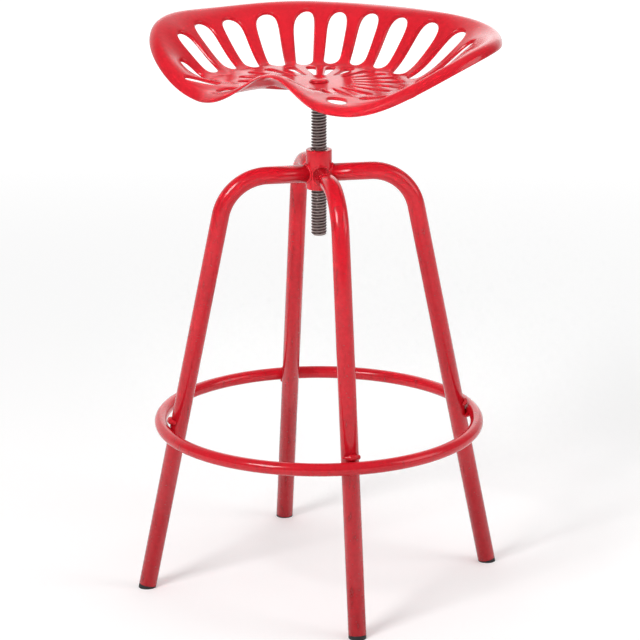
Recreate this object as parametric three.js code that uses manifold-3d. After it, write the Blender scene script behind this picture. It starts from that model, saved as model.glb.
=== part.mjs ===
import * as THREE from 'three'
import { mergeVertices } from 'three/addons/utils/BufferGeometryUtils.js'
import Module from 'manifold-3d'

// Height-adjustable stool with a perforated, saddle-shaped seat on a threaded post.
// Millimetres, +Z up. The origin is on the floor under the screw's axis.
// The legs stand along +X, -X, +Y and -Y, and the seat is turned on its screw.

// Four bent tube legs
const footReach = 221.8
const legTubeDiameter = 22
const legTubeWall = 1.5
const legTopHeight = 525.3
const legBendRadius = 60
const legTilt = THREE.MathUtils.degToRad(11.63)
const legEndCut = 3.5

// Hub that the legs are welded to
const hubDiameter = 32
const hubBelowLegs = 19.2
const hubHeight = 49.3
const hubEdge = 1.2

// Footrest ring round the outside of the legs
const ringTubeDiameter = 16
const ringTubeWall = 1.5
const ringHeight = 207.85
const ringSeam = 0.6

// Foot plugs
const plugStemLength = 14
const plugHeadLength = 7
const plugDome = 1.2
const plugDomeShare = 0.75

// Weld beads
const weldThickness = 2.8
const weldReach = 4.8
const ringWeldHeight = 25
const ringWeldWidth = 21
const ringWeldDepth = 13

// Threaded post
const screwDiameter = 19
const threadPitch = 3.7
const threadDepth = 2
const screwBelowHub = 59.1
const screwChamfer = 3

// Mounting plate, collar, washer and bolt that fix the seat to the screw
const plateDiameter = 70
const plateThickness = 4
const plateEdge = 0.8
const collarDiameter = 30
const collarHeight = 7
const boltDiameter = 10
const boltLength = 26
const boltHeadDiameter = 22
const boltHeadHeight = 2.6
const washerDiameter = 24
const washerThickness = 1

// Seat pan: a rounded shell, taken in rays from the screw's axis
const panAboveHub = 84.2
const panThickness = 4.3
const seatReach = 184.1
const rearCornerReach = 15
const rimRise = 44.4
const lipInset = 8
const lipOverhang = 3.3
const lipDrop = 10.3
const lipSkirt = 1
const thighOverhang = 12
const thighSwell = 7
const humpFlankDip = 4.5
const seatTurn = THREE.MathUtils.degToRad(-38.2)

// The rim's distance from the axis and its height above the pan, as cosine waves round the seat:
// the share for wave n multiplies the cosine of n times the angle from the front hump.
const rimReachShares = [1, -0.1315, -0.178, 0.002, 0.028, 0.003]
const rimRiseShares = [1, -0.685, -0.14, 0.172, 0.261, 0.124]

// Where the wall starts to climb and where it levels off, as shares of the rim's distance,
// and the rings of points between the axis and the lip
const frontWallFootShare = 0.26
const thighMiddleShare = 0.6
const wallFootShare = 0.51
const sideFootRiseShare = 0.18
const wallHeadShare = 0.99
const backWallHeadShare = 0.92
const wallRingShares = [0.2, 0.38, 0.47, 0.54, 0.61, 0.68, 0.74, 0.8, 0.86, 0.92]

// How far round the seat from its front hump each change of shape lies and reaches
const frontHalfAngle = THREE.MathUtils.degToRad(75)
const sideAngle = THREE.MathUtils.degToRad(66)
const sideHalfAngle = THREE.MathUtils.degToRad(25)
const humpHalfAngle = THREE.MathUtils.degToRad(37)
const humpLipHalfAngle = THREE.MathUtils.degToRad(30)
const humpFlankAngle = THREE.MathUtils.degToRad(19)
const humpFlankHalfAngle = THREE.MathUtils.degToRad(17)
const thighLipAngle = THREE.MathUtils.degToRad(25)
const thighLipHalfAngle = THREE.MathUtils.degToRad(21)
const backHalfAngle = THREE.MathUtils.degToRad(66)
const rearCornerAngle = THREE.MathUtils.degToRad(134)
const rearCornerHalfAngle = THREE.MathUtils.degToRad(30)
const longTearAngle = THREE.MathUtils.degToRad(100)
const longTearHalfAngle = THREE.MathUtils.degToRad(80)
const humpLipShare = 0.78

// Slots in the seat: how far out they lie goes by shares of the seat's own reach
const fanCentreShare = 0.182
const longSlotInnerShare = 0.727
const longSlotRimGap = 25
const longSlotExtraGap = 9
const longSlotFillShare = 0.68
const sideSlotInnerShare = 0.563
const sideSlotOuterShare = 0.806
const sideSlotInnerRadius = 9
const sideSlotOuterRadius = 4.5
const tearTipShare = 0.233
const tearOuterShare = 0.497
const longTearReach = 13
const tearTipRadius = 1.3
const tearOuterRadius = 6.4
const ovalMiddleShare = 0.67
const ovalLengthShare = 0.168
const ovalWidth = 23

// Clearances
const weldGap = 0.3
const plugGap = 0.2
const screwGap = 0.35
const stackGap = 0.3
const cutOverrun = 5

// Counts and angles of what repeats
const legCount = 4
const longSlotsEachSide = 7
const longSlotPitch = THREE.MathUtils.degToRad(13.7)
const tearCount = 22
const ovalAngle = THREE.MathUtils.degToRad(36)
const sideSlotAngle = THREE.MathUtils.degToRad(115)

// Facet counts
const legSides = 18
const bendSteps = 9
const ringSides = 12
const ringSteps = 40
const roundSides = 24
const weldSides = 8
const threadSides = 10
const seatRays = 60
const lipSteps = 3
const arcSteps = 4
const rimSearchSteps = 40

// Values that follow from the sizes above
const legRadius = legTubeDiameter / 2
const hubRadius = hubDiameter / 2
const hubBottom = legTopHeight - hubBelowLegs
const hubTop = hubBottom + hubHeight
const screwFoot = hubBottom - screwBelowHub
const panHeight = hubTop + panAboveHub
const fanCentreAhead = fanCentreShare * seatReach
const longSlotInnerReach = longSlotInnerShare * seatReach
const ringRadius = ringTubeDiameter / 2
const screwRadius = screwDiameter / 2
const footDirection = new THREE.Vector3(Math.sin(legTilt), 0, -Math.cos(legTilt))
const legReachAt = (height) => footReach - height * Math.tan(legTilt)
const ringReach = legReachAt(ringHeight) + (legRadius + weldGap) / Math.cos(legTilt) + ringRadius
const plateTop = panHeight - panThickness - stackGap
const plateBottom = plateTop - plateThickness
const collarTop = plateBottom - stackGap
const quarterTurn = Math.PI / 2

const wasm = await Module()
wasm.setup()

const redPaint = () => new THREE.MeshStandardMaterial({ color: 0xc8202c, roughness: 0.3, metalness: 0 })
const darkSteel = () => new THREE.MeshStandardMaterial({ color: 0x3a3532, roughness: 0.45, metalness: 0.9 })
const blackPlastic = () => new THREE.MeshStandardMaterial({ color: 0x141414, roughness: 0.6, metalness: 0 })

const stool = new THREE.Group()
const seatGroup = new THREE.Group()
seatGroup.rotation.z = seatTurn
stool.add(seatGroup)

function addPiece(parent, name, geometry, material) {
  const mesh = new THREE.Mesh(geometry, material)
  mesh.name = name
  parent.add(mesh)
  return mesh
}

// A closed geometry as a solid, with shared corners merged
function solidOf(geometry) {
  const bare = geometry.clone()
  bare.deleteAttribute('normal')
  bare.deleteAttribute('uv')
  const merged = mergeVertices(bare)
  const vertProperties = new Float32Array(merged.attributes.position.array)
  const triVerts = new Uint32Array(merged.index.array)
  return new wasm.Manifold(new wasm.Mesh({ numProp: 3, vertProperties, triVerts }))
}

function geometryOf(solid) {
  const mesh = solid.getMesh()
  const geometry = new THREE.BufferGeometry()
  geometry.setAttribute('position', new THREE.BufferAttribute(new Float32Array(mesh.vertProperties), 3))
  geometry.setIndex(new THREE.BufferAttribute(new Uint32Array(mesh.triVerts), 1))
  geometry.computeVertexNormals()
  return geometry
}

function meshFromPoints(points, faces) {
  const geometry = new THREE.BufferGeometry()
  geometry.setAttribute('position', new THREE.Float32BufferAttribute(points.flat(), 3))
  geometry.setIndex(faces.flat())
  geometry.computeVertexNormals()
  return geometry
}

// A turned piece: pairs of radius and height, turned round +Z
function turned(profile, sides = roundSides) {
  const geometry = new THREE.LatheGeometry(profile.map(([r, h]) => new THREE.Vector2(r, h)), sides)
  return geometry.rotateX(quarterTurn)
}

// A path through chosen stations, each a point and a direction
class StationPath extends THREE.Curve {
  constructor(stations) {
    super()
    this.stations = stations
  }

  getPoint(t) {
    return this.stations[Math.round(t * (this.stations.length - 1))].point.clone()
  }

  getTangent(t) {
    return this.stations[Math.round(t * (this.stations.length - 1))].direction.clone()
  }

  getUtoTmapping(u) {
    return u
  }
}

function tubeSection(outerRadius, innerRadius) {
  const section = new THREE.Shape().absarc(0, 0, outerRadius, 0, 2 * Math.PI)
  if (innerRadius > 0) section.holes.push(new THREE.Path().absarc(0, 0, innerRadius, 0, 2 * Math.PI, true))
  return section
}

function tubeAlong(stations, outerRadius, innerRadius, sides) {
  const path = new StationPath(stations)
  const settings = { steps: stations.length - 1, extrudePath: path, curveSegments: sides / 2 }
  return new THREE.ExtrudeGeometry(tubeSection(outerRadius, innerRadius), settings)
}

// Stations of one leg in the XZ plane, from inside the hub down to the cut end
function legStations() {
  const turn = quarterTurn - legTilt
  const cornerReach = legReachAt(legTopHeight)
  const tangentLength = legBendRadius * Math.tan(turn / 2)
  const bendStart = cornerReach - tangentLength
  const stations = [{ point: new THREE.Vector3(hubRadius / 2, 0, legTopHeight), direction: new THREE.Vector3(1, 0, 0) }]
  for (let i = 0; i <= bendSteps; i += 1) {
    const angle = (turn * i) / bendSteps
    const x = bendStart + legBendRadius * Math.sin(angle)
    const z = legTopHeight - legBendRadius * (1 - Math.cos(angle))
    const direction = new THREE.Vector3(Math.cos(angle), 0, -Math.sin(angle))
    stations.push({ point: new THREE.Vector3(x, 0, z), direction })
  }
  const floorPoint = new THREE.Vector3(footReach, 0, 0)
  const cutPoint = floorPoint.addScaledVector(footDirection, -legEndCut)
  stations.push({ point: cutPoint, direction: footDirection })
  return stations
}

function hubCutter(gap) {
  const height = hubHeight + 2 * cutOverrun
  const cylinder = new THREE.CylinderGeometry(hubRadius + gap, hubRadius + gap, height, roundSides)
  cylinder.rotateX(quarterTurn)
  return cylinder.translate(0, 0, hubBottom + hubHeight / 2)
}

function legGeometry() {
  const tube = tubeAlong(legStations(), legRadius, legRadius - legTubeWall, legSides)
  return geometryOf(solidOf(tube).subtract(solidOf(hubCutter(weldGap))))
}

function hubGeometry() {
  const bore = screwRadius + screwGap
  return turned([
    [bore, hubBottom],
    [hubRadius - hubEdge, hubBottom],
    [hubRadius, hubBottom + hubEdge],
    [hubRadius, hubTop - hubEdge],
    [hubRadius - hubEdge, hubTop],
    [bore, hubTop],
    [bore, hubBottom],
  ])
}

// Bead round a leg where it meets the hub, kept inside the leg's own quarter
function hubWeldGeometry() {
  const bead = new THREE.SphereGeometry(1, 2 * weldSides, weldSides)
  const beadRadius = legRadius + weldThickness
  bead.scale(weldReach, beadRadius, beadRadius)
  bead.translate(hubRadius, 0, legTopHeight)
  const wedge = new THREE.Shape([
    new THREE.Vector2(weldGap, 0),
    new THREE.Vector2(2 * beadRadius, 2 * beadRadius - weldGap),
    new THREE.Vector2(2 * beadRadius, weldGap - 2 * beadRadius),
  ])
  const quarter = new THREE.ExtrudeGeometry(wedge, { depth: 4 * beadRadius, bevelEnabled: false })
  quarter.translate(0, 0, legTopHeight - 2 * beadRadius)
  const leg = tubeAlong(legStations(), legRadius + weldGap, 0, legSides)
  return geometryOf(
    solidOf(bead).intersect(solidOf(quarter)).subtract(solidOf(hubCutter(weldGap))).subtract(solidOf(leg)))
}

// Stations round the footrest ring, which is open by the width of its butt seam
function ringStations() {
  const seamAngle = ringSeam / ringReach
  const stations = []
  for (let i = 0; i <= ringSteps; i += 1) {
    const angle = quarterTurn + seamAngle / 2 + ((2 * Math.PI - seamAngle) * i) / ringSteps
    const point = new THREE.Vector3(ringReach * Math.cos(angle), ringReach * Math.sin(angle), ringHeight)
    const direction = new THREE.Vector3(-Math.sin(angle), Math.cos(angle), 0)
    stations.push({ point, direction })
  }
  return stations
}

function ringGeometry() {
  return tubeAlong(ringStations(), ringRadius, ringRadius - ringTubeWall, ringSides)
}

// Fillet of weld that fills the corner between a leg and the ring
function ringWeldGeometry() {
  const touchReach = legReachAt(ringHeight) + legRadius / Math.cos(legTilt)
  const bead = new THREE.SphereGeometry(1, weldSides, weldSides)
  bead.scale(ringWeldDepth / 2, ringWeldWidth / 2, ringWeldHeight / 2)
  bead.rotateY(-legTilt)
  bead.translate(touchReach, 0, ringHeight)
  const leg = tubeAlong(legStations(), legRadius + weldGap, 0, legSides)
  const ring = new THREE.TorusGeometry(ringReach, ringRadius + weldGap, ringSides, ringSteps)
  ring.translate(0, 0, ringHeight)
  return geometryOf(solidOf(bead).subtract(solidOf(leg)).subtract(solidOf(ring)))
}

// Foot plug: a stem inside the tube and a low domed head, cut level at the floor
function plugGeometry() {
  const stemRadius = legRadius - legTubeWall - plugGap
  const headTop = legEndCut - plugGap
  const headBottom = headTop - plugHeadLength
  const plug = turned([
    [0, headBottom - plugDome],
    [legRadius / 2, headBottom - plugDomeShare * plugDome],
    [legRadius - plugDome, headBottom],
    [legRadius, headBottom + plugDome],
    [legRadius, headTop],
    [stemRadius, headTop],
    [stemRadius, headTop + plugStemLength - plugDome],
    [stemRadius - plugDome, headTop + plugStemLength],
    [0, headTop + plugStemLength],
  ], legSides)
  plug.rotateY(-legTilt)
  plug.translate(footReach, 0, 0)
  const side = 4 * legTubeDiameter
  const floor = new THREE.BoxGeometry(side, side, side)
  floor.translate(footReach, 0, -side / 2)
  return geometryOf(solidOf(plug).subtract(solidOf(floor)))
}

// Threaded post: a helical grid of roots and crests, trimmed to a chamfered rod
function screwGeometry() {
  const rootRadius = screwRadius - threadDepth
  const rowRadii = [rootRadius, screwRadius]
  const rowRise = threadPitch / rowRadii.length
  const start = screwFoot - 2 * threadPitch
  const rows = Math.ceil((collarTop + 2 * threadPitch - start) / rowRise)
  const stride = threadSides + 1
  const points = []
  for (let row = 0; row < rows; row += 1) {
    for (let side = 0; side <= threadSides; side += 1) {
      const angle = (2 * Math.PI * (side % threadSides)) / threadSides
      const radius = rowRadii[row % rowRadii.length]
      const height = start + rowRise * row + (threadPitch * side) / threadSides
      points.push([radius * Math.cos(angle), radius * Math.sin(angle), height])
    }
  }
  const low = points.push([0, 0, start - threadPitch]) - 1
  const high = points.push([0, 0, start + rowRise * rows + 2 * threadPitch]) - 1
  const at = (row, side) => row * stride + side
  const faces = []
  for (let side = 0; side < threadSides; side += 1) {
    faces.push([low, at(0, side + 1), at(0, side)], [high, at(rows - 1, side), at(rows - 1, side + 1)])
    for (let row = 0; row < rows - 1; row += 1) {
      faces.push([at(row, side), at(row, side + 1), at(row + 1, side + 1)])
      faces.push([at(row, side), at(row + 1, side + 1), at(row + 1, side)])
    }
  }
  // the helix ends in a step of one pitch, which each end cap closes
  for (let row = 0; row < rowRadii.length; row += 1) {
    const last = rows - 1 - row
    faces.push([low, at(row, 0), at(row + 1, 0)], [high, at(last, threadSides), at(last - 1, threadSides)])
  }
  const envelope = turned([
    [0, screwFoot],
    [screwRadius - screwChamfer, screwFoot],
    [screwRadius + screwGap / 2, screwFoot + screwChamfer],
    [screwRadius + screwGap / 2, plateBottom - stackGap],
    [0, plateBottom - stackGap],
  ])
  const thread = solidOf(meshFromPoints(points, faces))
  return geometryOf(thread.intersect(solidOf(envelope)).subtract(solidOf(boltHole())))
}

// Clearance hole on the axis for the seat bolt
function boltHole() {
  const radius = boltDiameter / 2 + screwGap
  const top = panHeight + cutOverrun
  const bottom = panHeight + washerThickness - boltLength - cutOverrun
  const hole = new THREE.CylinderGeometry(radius, radius, top - bottom, roundSides)
  return hole.rotateX(quarterTurn).translate(0, 0, (top + bottom) / 2)
}

function plateGeometry() {
  const radius = plateDiameter / 2
  const bore = boltDiameter / 2 + screwGap
  return turned([
    [bore, plateBottom],
    [radius - plateEdge, plateBottom],
    [radius, plateBottom + plateEdge],
    [radius, plateTop - plateEdge],
    [radius - plateEdge, plateTop],
    [bore, plateTop],
    [bore, plateBottom],
  ])
}

// Thrust collar round the screw, just under the plate
function collarGeometry() {
  const radius = collarDiameter / 2
  const bore = screwRadius + screwGap
  const bottom = collarTop - collarHeight
  return turned([
    [bore, bottom],
    [radius - plateEdge, bottom],
    [radius, bottom + plateEdge],
    [radius, collarTop],
    [bore, collarTop],
    [bore, bottom],
  ])
}

function washerGeometry() {
  const bottom = panHeight + stackGap
  const bore = boltDiameter / 2 + screwGap
  return turned([
    [bore, bottom],
    [washerDiameter / 2, bottom],
    [washerDiameter / 2, bottom + washerThickness],
    [bore, bottom + washerThickness],
    [bore, bottom],
  ])
}

// Round-headed bolt down through the pan, the plate and into the screw
function boltGeometry() {
  const headBottom = panHeight + 2 * stackGap + washerThickness
  const headRadius = boltHeadDiameter / 2
  const profile = [[0, headBottom - boltLength], [boltDiameter / 2, headBottom - boltLength],
    [boltDiameter / 2, headBottom], [headRadius, headBottom]]
  for (let i = 1; i <= arcSteps; i += 1) {
    const angle = (quarterTurn * i) / arcSteps
    profile.push([headRadius * Math.cos(angle), headBottom + boltHeadHeight * Math.sin(angle)])
  }
  profile[profile.length - 1][0] = 0
  return turned(profile)
}

const cosineSeries = (shares, angle) => shares.reduce((sum, share, n) => sum + share * Math.cos(n * angle), 0)

// 1 at an angle from a direction's middle, falling smoothly to 0 at a half angle from it
const nearness = (angle, halfAngle) => Math.cos(quarterTurn * Math.min(Math.abs(angle) / halfAngle, 1)) ** 2

// The rim stands out beyond its waves at the rear corners
function rimReachAt(angle) {
  const corner = nearness(Math.abs(angle) - rearCornerAngle, rearCornerHalfAngle)
  return seatReach * cosineSeries(rimReachShares, angle) + rearCornerReach * corner
}

function rimHeightAt(angle) {
  const flank = nearness(Math.abs(angle) - humpFlankAngle, humpFlankHalfAngle)
  return panHeight + rimRise * cosineSeries(rimRiseShares, angle) - humpFlankDip * flank
}

// Height of the pan's upper face at a share of the way from the axis to the rim.
// In front the wall starts nearer the axis, and the pan swells up under each thigh.
function wallHeight(angle, share) {
  const front = nearness(angle, frontHalfAngle)
  const side = nearness(Math.abs(angle) - sideAngle, sideHalfAngle)
  const foot = THREE.MathUtils.lerp(wallFootShare, frontWallFootShare, front) + sideFootRiseShare * side
  const back = nearness(Math.PI - Math.abs(angle), backHalfAngle)
  const head = THREE.MathUtils.lerp(wallHeadShare, backWallHeadShare, back)
  const climb = THREE.MathUtils.smoothstep(share, foot, head)
  const swellUp = THREE.MathUtils.smoothstep(share, foot, thighMiddleShare)
  const swellDown = THREE.MathUtils.smoothstep(share, thighMiddleShare, 1)
  const thigh = front * (1 - nearness(angle, humpHalfAngle))
  const swell = thighSwell * thigh * swellUp * (1 - swellDown)
  return panHeight + (rimHeightAt(angle) - panHeight) * climb + swell
}

// One ray of the shell: out over the upper face, round the lip and back along the lower face.
// The lip is thinner over the hump and reaches out further beside it, in front of each thigh.
function rayProfile(angle) {
  const reach = rimReachAt(angle)
  const lipReach = reach - lipInset
  const upper = wallRingShares.map((share) => [share * reach, wallHeight(angle, share)])
  const lipShare = 1 - humpLipShare * nearness(angle, humpLipHalfAngle)
  const drop = lipDrop * lipShare
  const skirt = lipSkirt * lipShare
  const thighLip = nearness(Math.abs(angle) - thighLipAngle, thighLipHalfAngle)
  const width = lipInset + lipOverhang + thighOverhang * thighLip
  const lipTop = rimHeightAt(angle)
  const lower = []
  for (let i = 0; i < upper.length; i += 1) {
    const [r, z] = upper[i]
    const [nextR, nextZ] = i + 1 < upper.length ? upper[i + 1] : [lipReach, lipTop]
    const [lastR, lastZ] = i > 0 ? upper[i - 1] : [0, panHeight]
    const slope = Math.atan2(nextZ - lastZ, nextR - lastR)
    lower.unshift([r + panThickness * Math.sin(slope), z - panThickness * Math.cos(slope)])
  }
  const outside = []
  const inside = []
  for (let i = 0; i <= lipSteps; i += 1) {
    const turn = (quarterTurn * i) / lipSteps
    outside.push([lipReach + width * Math.sin(turn), lipTop - drop * (1 - Math.cos(turn))])
    const innerDrop = Math.max(drop - panThickness, skirt)
    const innerZ = lipTop - drop + innerDrop * Math.cos(turn)
    inside.unshift([lipReach + (width - panThickness) * Math.sin(turn), innerZ])
  }
  const [edgeOut] = outside.slice(-1)
  const [edgeIn] = inside
  outside.push([edgeOut[0], edgeOut[1] - skirt])
  inside.unshift([edgeIn[0], edgeIn[1] - skirt])
  return [...upper, ...outside, ...inside, ...lower]
}

function shellGeometry() {
  const points = [[0, 0, panHeight], [0, 0, panHeight - panThickness]]
  let rings = 0
  for (let ray = 0; ray < seatRays; ray += 1) {
    const angle = (2 * Math.PI * ray) / seatRays
    const signed = angle > Math.PI ? angle - 2 * Math.PI : angle
    const profile = rayProfile(signed)
    rings = profile.length
    profile.forEach(([r, z]) => points.push([r * Math.sin(angle), -r * Math.cos(angle), z]))
  }
  const at = (ray, ring) => 2 + (ray % seatRays) * rings + ring
  const faces = []
  for (let ray = 0; ray < seatRays; ray += 1) {
    faces.push([0, at(ray, 0), at(ray + 1, 0)], [1, at(ray + 1, rings - 1), at(ray, rings - 1)])
    for (let ring = 0; ring < rings - 1; ring += 1) {
      faces.push([at(ray, ring), at(ray, ring + 1), at(ray + 1, ring + 1)])
      faces.push([at(ray, ring), at(ray + 1, ring + 1), at(ray + 1, ring)])
    }
  }
  return meshFromPoints(points, faces)
}

// A slot outline with two round ends, laid along a ray from a centre
function slotShape(centre, direction, nearEnd, farEnd, nearRadius, farRadius) {
  const near = centre.clone().addScaledVector(direction, nearEnd + nearRadius)
  const far = centre.clone().addScaledVector(direction, farEnd - farRadius)
  const heading = Math.atan2(direction.y, direction.x)
  const flare = Math.asin((farRadius - nearRadius) / near.distanceTo(far))
  const corners = []
  const addArc = (middle, radius, from, to) => {
    for (let i = 0; i <= arcSteps; i += 1) {
      const angle = heading + from + ((to - from) * i) / arcSteps
      corners.push(new THREE.Vector2(middle.x + radius * Math.cos(angle), middle.y + radius * Math.sin(angle)))
    }
  }
  addArc(far, farRadius, -quarterTurn - flare, quarterTurn + flare)
  addArc(near, nearRadius, quarterTurn + flare, 3 * quarterTurn - flare)
  return new THREE.Shape(corners)
}

const pointAt = (angle, reach) => new THREE.Vector2(reach * Math.sin(angle), -reach * Math.cos(angle))
const angleOf = (point) => Math.atan2(point.x, -point.y)

// How far from the fan's centre a ray comes within a gap of the rim
function rimDistance(centre, direction, gap) {
  let low = 0
  let high = 2 * seatReach
  for (let i = 0; i < rimSearchSteps; i += 1) {
    const middle = (low + high) / 2
    const point = centre.clone().addScaledVector(direction, middle)
    if (point.length() < rimReachAt(angleOf(point)) - gap) low = middle
    else high = middle
  }
  return low
}

// The long slots end further from the rim towards the sides, and the teardrops reach further there
function slotShapes() {
  const shapes = []
  const fanCentre = new THREE.Vector2(0, -fanCentreAhead)
  const fanDirection = (angle) => new THREE.Vector2(Math.sin(angle), Math.cos(angle))
  const fill = Math.sin((longSlotFillShare * longSlotPitch) / 2)
  for (let step = -longSlotsEachSide; step <= longSlotsEachSide; step += 1) {
    const direction = fanDirection(step * longSlotPitch)
    const fromMiddle = step / longSlotsEachSide
    const farEnd = rimDistance(fanCentre, direction, longSlotRimGap + longSlotExtraGap * fromMiddle ** 2)
    const nearRadius = (longSlotInnerReach * fill) / (1 - fill)
    const farRadius = (farEnd * fill) / (1 + fill)
    shapes.push(slotShape(fanCentre, direction, longSlotInnerReach, farEnd, nearRadius, farRadius))
  }
  for (const side of [-1, 1]) {
    const direction = fanDirection(side * sideSlotAngle)
    shapes.push(slotShape(fanCentre, direction, sideSlotInnerShare * seatReach, sideSlotOuterShare * seatReach,
      sideSlotInnerRadius, sideSlotOuterRadius))
    const middle = pointAt(side * ovalAngle, ovalMiddleShare * seatReach)
    const outward = middle.clone().normalize()
    const halfLength = (ovalLengthShare * seatReach) / 2
    shapes.push(slotShape(middle, outward, -halfLength, halfLength, ovalWidth / 2, ovalWidth / 2))
  }
  for (let i = 0; i < tearCount; i += 1) {
    const angle = Math.PI + (2 * Math.PI * i) / tearCount
    const direction = pointAt(angle, 1)
    const axis = new THREE.Vector2(0, 0)
    const towardsSide = nearness(Math.abs(angleOf(direction)) - longTearAngle, longTearHalfAngle)
    const farEnd = tearOuterShare * seatReach + longTearReach * towardsSide
    shapes.push(slotShape(axis, direction, tearTipShare * seatReach, farEnd, tearTipRadius, tearOuterRadius))
  }
  return shapes
}

function seatGeometry() {
  const depth = 3 * rimRise
  let seat = solidOf(shellGeometry()).subtract(solidOf(boltHole()))
  for (const shape of slotShapes()) {
    const prism = new THREE.ExtrudeGeometry(shape, { depth, bevelEnabled: false })
    seat = seat.subtract(solidOf(prism.translate(0, 0, panHeight - rimRise)))
  }
  return geometryOf(seat)
}

addPiece(stool, 'hub', hubGeometry(), redPaint())
addPiece(stool, 'footrest_ring', ringGeometry(), redPaint())
const sideNames = ['right', 'back', 'left', 'front']
for (let i = 0; i < legCount; i += 1) {
  const quarter = new THREE.Group()
  quarter.rotation.z = (2 * Math.PI * i) / legCount
  stool.add(quarter)
  addPiece(quarter, `leg_${sideNames[i]}`, legGeometry(), redPaint())
  addPiece(quarter, `hub_weld_${sideNames[i]}`, hubWeldGeometry(), redPaint())
  addPiece(quarter, `ring_weld_${sideNames[i]}`, ringWeldGeometry(), redPaint())
  addPiece(quarter, `foot_plug_${sideNames[i]}`, plugGeometry(), blackPlastic())
}
addPiece(stool, 'thrust_collar', collarGeometry(), darkSteel())
addPiece(seatGroup, 'screw', screwGeometry(), darkSteel())
addPiece(seatGroup, 'seat_plate', plateGeometry(), redPaint())
addPiece(seatGroup, 'seat', seatGeometry(), redPaint())
addPiece(seatGroup, 'seat_washer', washerGeometry(), redPaint())
addPiece(seatGroup, 'seat_bolt', boltGeometry(), redPaint())

export default stool
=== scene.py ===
# %% [markdown]
# The stool has a red, slotted tractor seat on a black threaded post, four bent
# tube legs and a round footrest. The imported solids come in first, as a frame
# that nothing below moves. Every visible piece is then modelled once more with
# finer curves, at the place that the solids give, and rides on their bodies.

# %% Load the frame
import math

import bmesh
import bpy
from mathutils import Matrix, Vector, noise


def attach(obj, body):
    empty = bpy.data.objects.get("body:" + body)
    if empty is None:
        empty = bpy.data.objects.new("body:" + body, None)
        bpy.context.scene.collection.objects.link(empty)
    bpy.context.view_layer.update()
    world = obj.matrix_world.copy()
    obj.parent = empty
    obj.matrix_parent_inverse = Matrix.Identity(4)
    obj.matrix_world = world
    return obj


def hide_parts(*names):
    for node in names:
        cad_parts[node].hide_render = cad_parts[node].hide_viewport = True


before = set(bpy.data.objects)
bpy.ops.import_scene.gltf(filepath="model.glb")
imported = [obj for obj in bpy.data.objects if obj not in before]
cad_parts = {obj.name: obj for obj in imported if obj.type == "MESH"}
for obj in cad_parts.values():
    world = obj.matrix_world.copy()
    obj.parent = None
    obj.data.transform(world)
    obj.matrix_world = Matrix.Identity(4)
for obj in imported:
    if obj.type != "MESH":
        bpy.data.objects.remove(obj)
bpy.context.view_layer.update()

# %% [markdown]
# A photograph of a small object taken from far away has almost parallel lines.
# The camera therefore stands 3.6 m off along the floor and has a long lens. It
# is a little to the left of the front leg and looks down by 16 degrees.

# %% Camera
CAMERA_PLACE = (-0.7524, -3.5125, 1.3781)
LOOK_DOWN, LOOK_RIGHT = 16.164, 12.111
LENS, SENSOR = 168.67, 36
SEES_AS_FAR_AS = 60

camera_data = bpy.data.cameras.new("camera")
camera_data.lens = LENS
camera_data.sensor_width = SENSOR
camera_data.clip_end = SEES_AS_FAR_AS
camera = bpy.data.objects.new("camera", camera_data)
camera.location = CAMERA_PLACE
camera.rotation_euler = (math.radians(90 - LOOK_DOWN), 0, math.radians(-LOOK_RIGHT))
bpy.context.scene.collection.objects.link(camera)
bpy.context.scene.camera = camera
print("camera stands", round(camera.location.length, 2), "m from the origin")

# %% [markdown]
# Shader sums are easier to read as Python sums than as lists of links. This
# class wraps one socket: +, - and * on it add Math nodes, and any other node
# comes from add(), which sets the node's settings before its sockets. The
# other methods give short names to the nodes that come back often.


# %% A socket that can be calculated with
class Sock:
    """An output of a node, or the bare tree when there is no socket."""

    def __init__(self, tree, socket=None):
        self.tree = tree
        self.socket = socket

    def add(self, kind, settings=None, sockets=None, output=0):
        node = self.tree.nodes.new(kind)
        for name, value in (settings or {}).items():
            setattr(node, name, value)
        for name, value in (sockets or {}).items():
            if isinstance(value, Sock):
                self.tree.links.new(value.socket, node.inputs[name])
            else:
                node.inputs[name].default_value = value
        return Sock(self.tree, node.outputs[output] if node.outputs else None)

    def maths(self, operation, first, second):
        return self.add("ShaderNodeMath", {"operation": operation}, {0: first, 1: second})

    def __add__(self, other):
        return self.maths("ADD", self, other)

    def __sub__(self, other):
        return self.maths("SUBTRACT", self, other)

    def __rsub__(self, other):
        return self.maths("SUBTRACT", other, self)

    def __mul__(self, other):
        return self.maths("MULTIPLY", self, other)

    __radd__ = __add__
    __rmul__ = __mul__

    def step(self, low, high):
        """0 below low and 1 above high, with a soft climb between them."""
        return self.add(
            "ShaderNodeMapRange",
            {"interpolation_type": "SMOOTHSTEP"},
            {"Value": self, "From Min": low, "From Max": high},
        )

    def blend(self, first, second):
        """The first colour where this value is 0, the second where it is 1."""
        sockets = {0: self, 6: first, 7: second}
        return self.add("ShaderNodeMix", {"data_type": "RGBA"}, sockets, 2)

    def length(self):
        return self.add("ShaderNodeVectorMath", {"operation": "LENGTH"}, {0: self}, "Value")

    def place(self):
        """Where a point is in the object's own coordinates."""
        return self.add("ShaderNodeTexCoord", output="Object")

    def grain(self, scale, detail=2.0):
        """Noise at this place, with about so many waves a metre."""
        sockets = {"Vector": self, "Scale": scale, "Detail": detail}
        return self.add("ShaderNodeTexNoise", {}, sockets)

    def bump(self, strength, depth):
        sockets = {"Height": self, "Strength": strength, "Distance": depth}
        return self.add("ShaderNodeBump", {}, sockets)


def new_finish(name):
    material = bpy.data.materials.new(name)
    material.use_nodes = True
    tree = material.node_tree
    tree.nodes.clear()
    return material, Sock(tree)


def show(tree, shader):
    tree.add("ShaderNodeOutputMaterial", {}, {"Surface": shader})


print("socket sums are ready")

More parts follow.
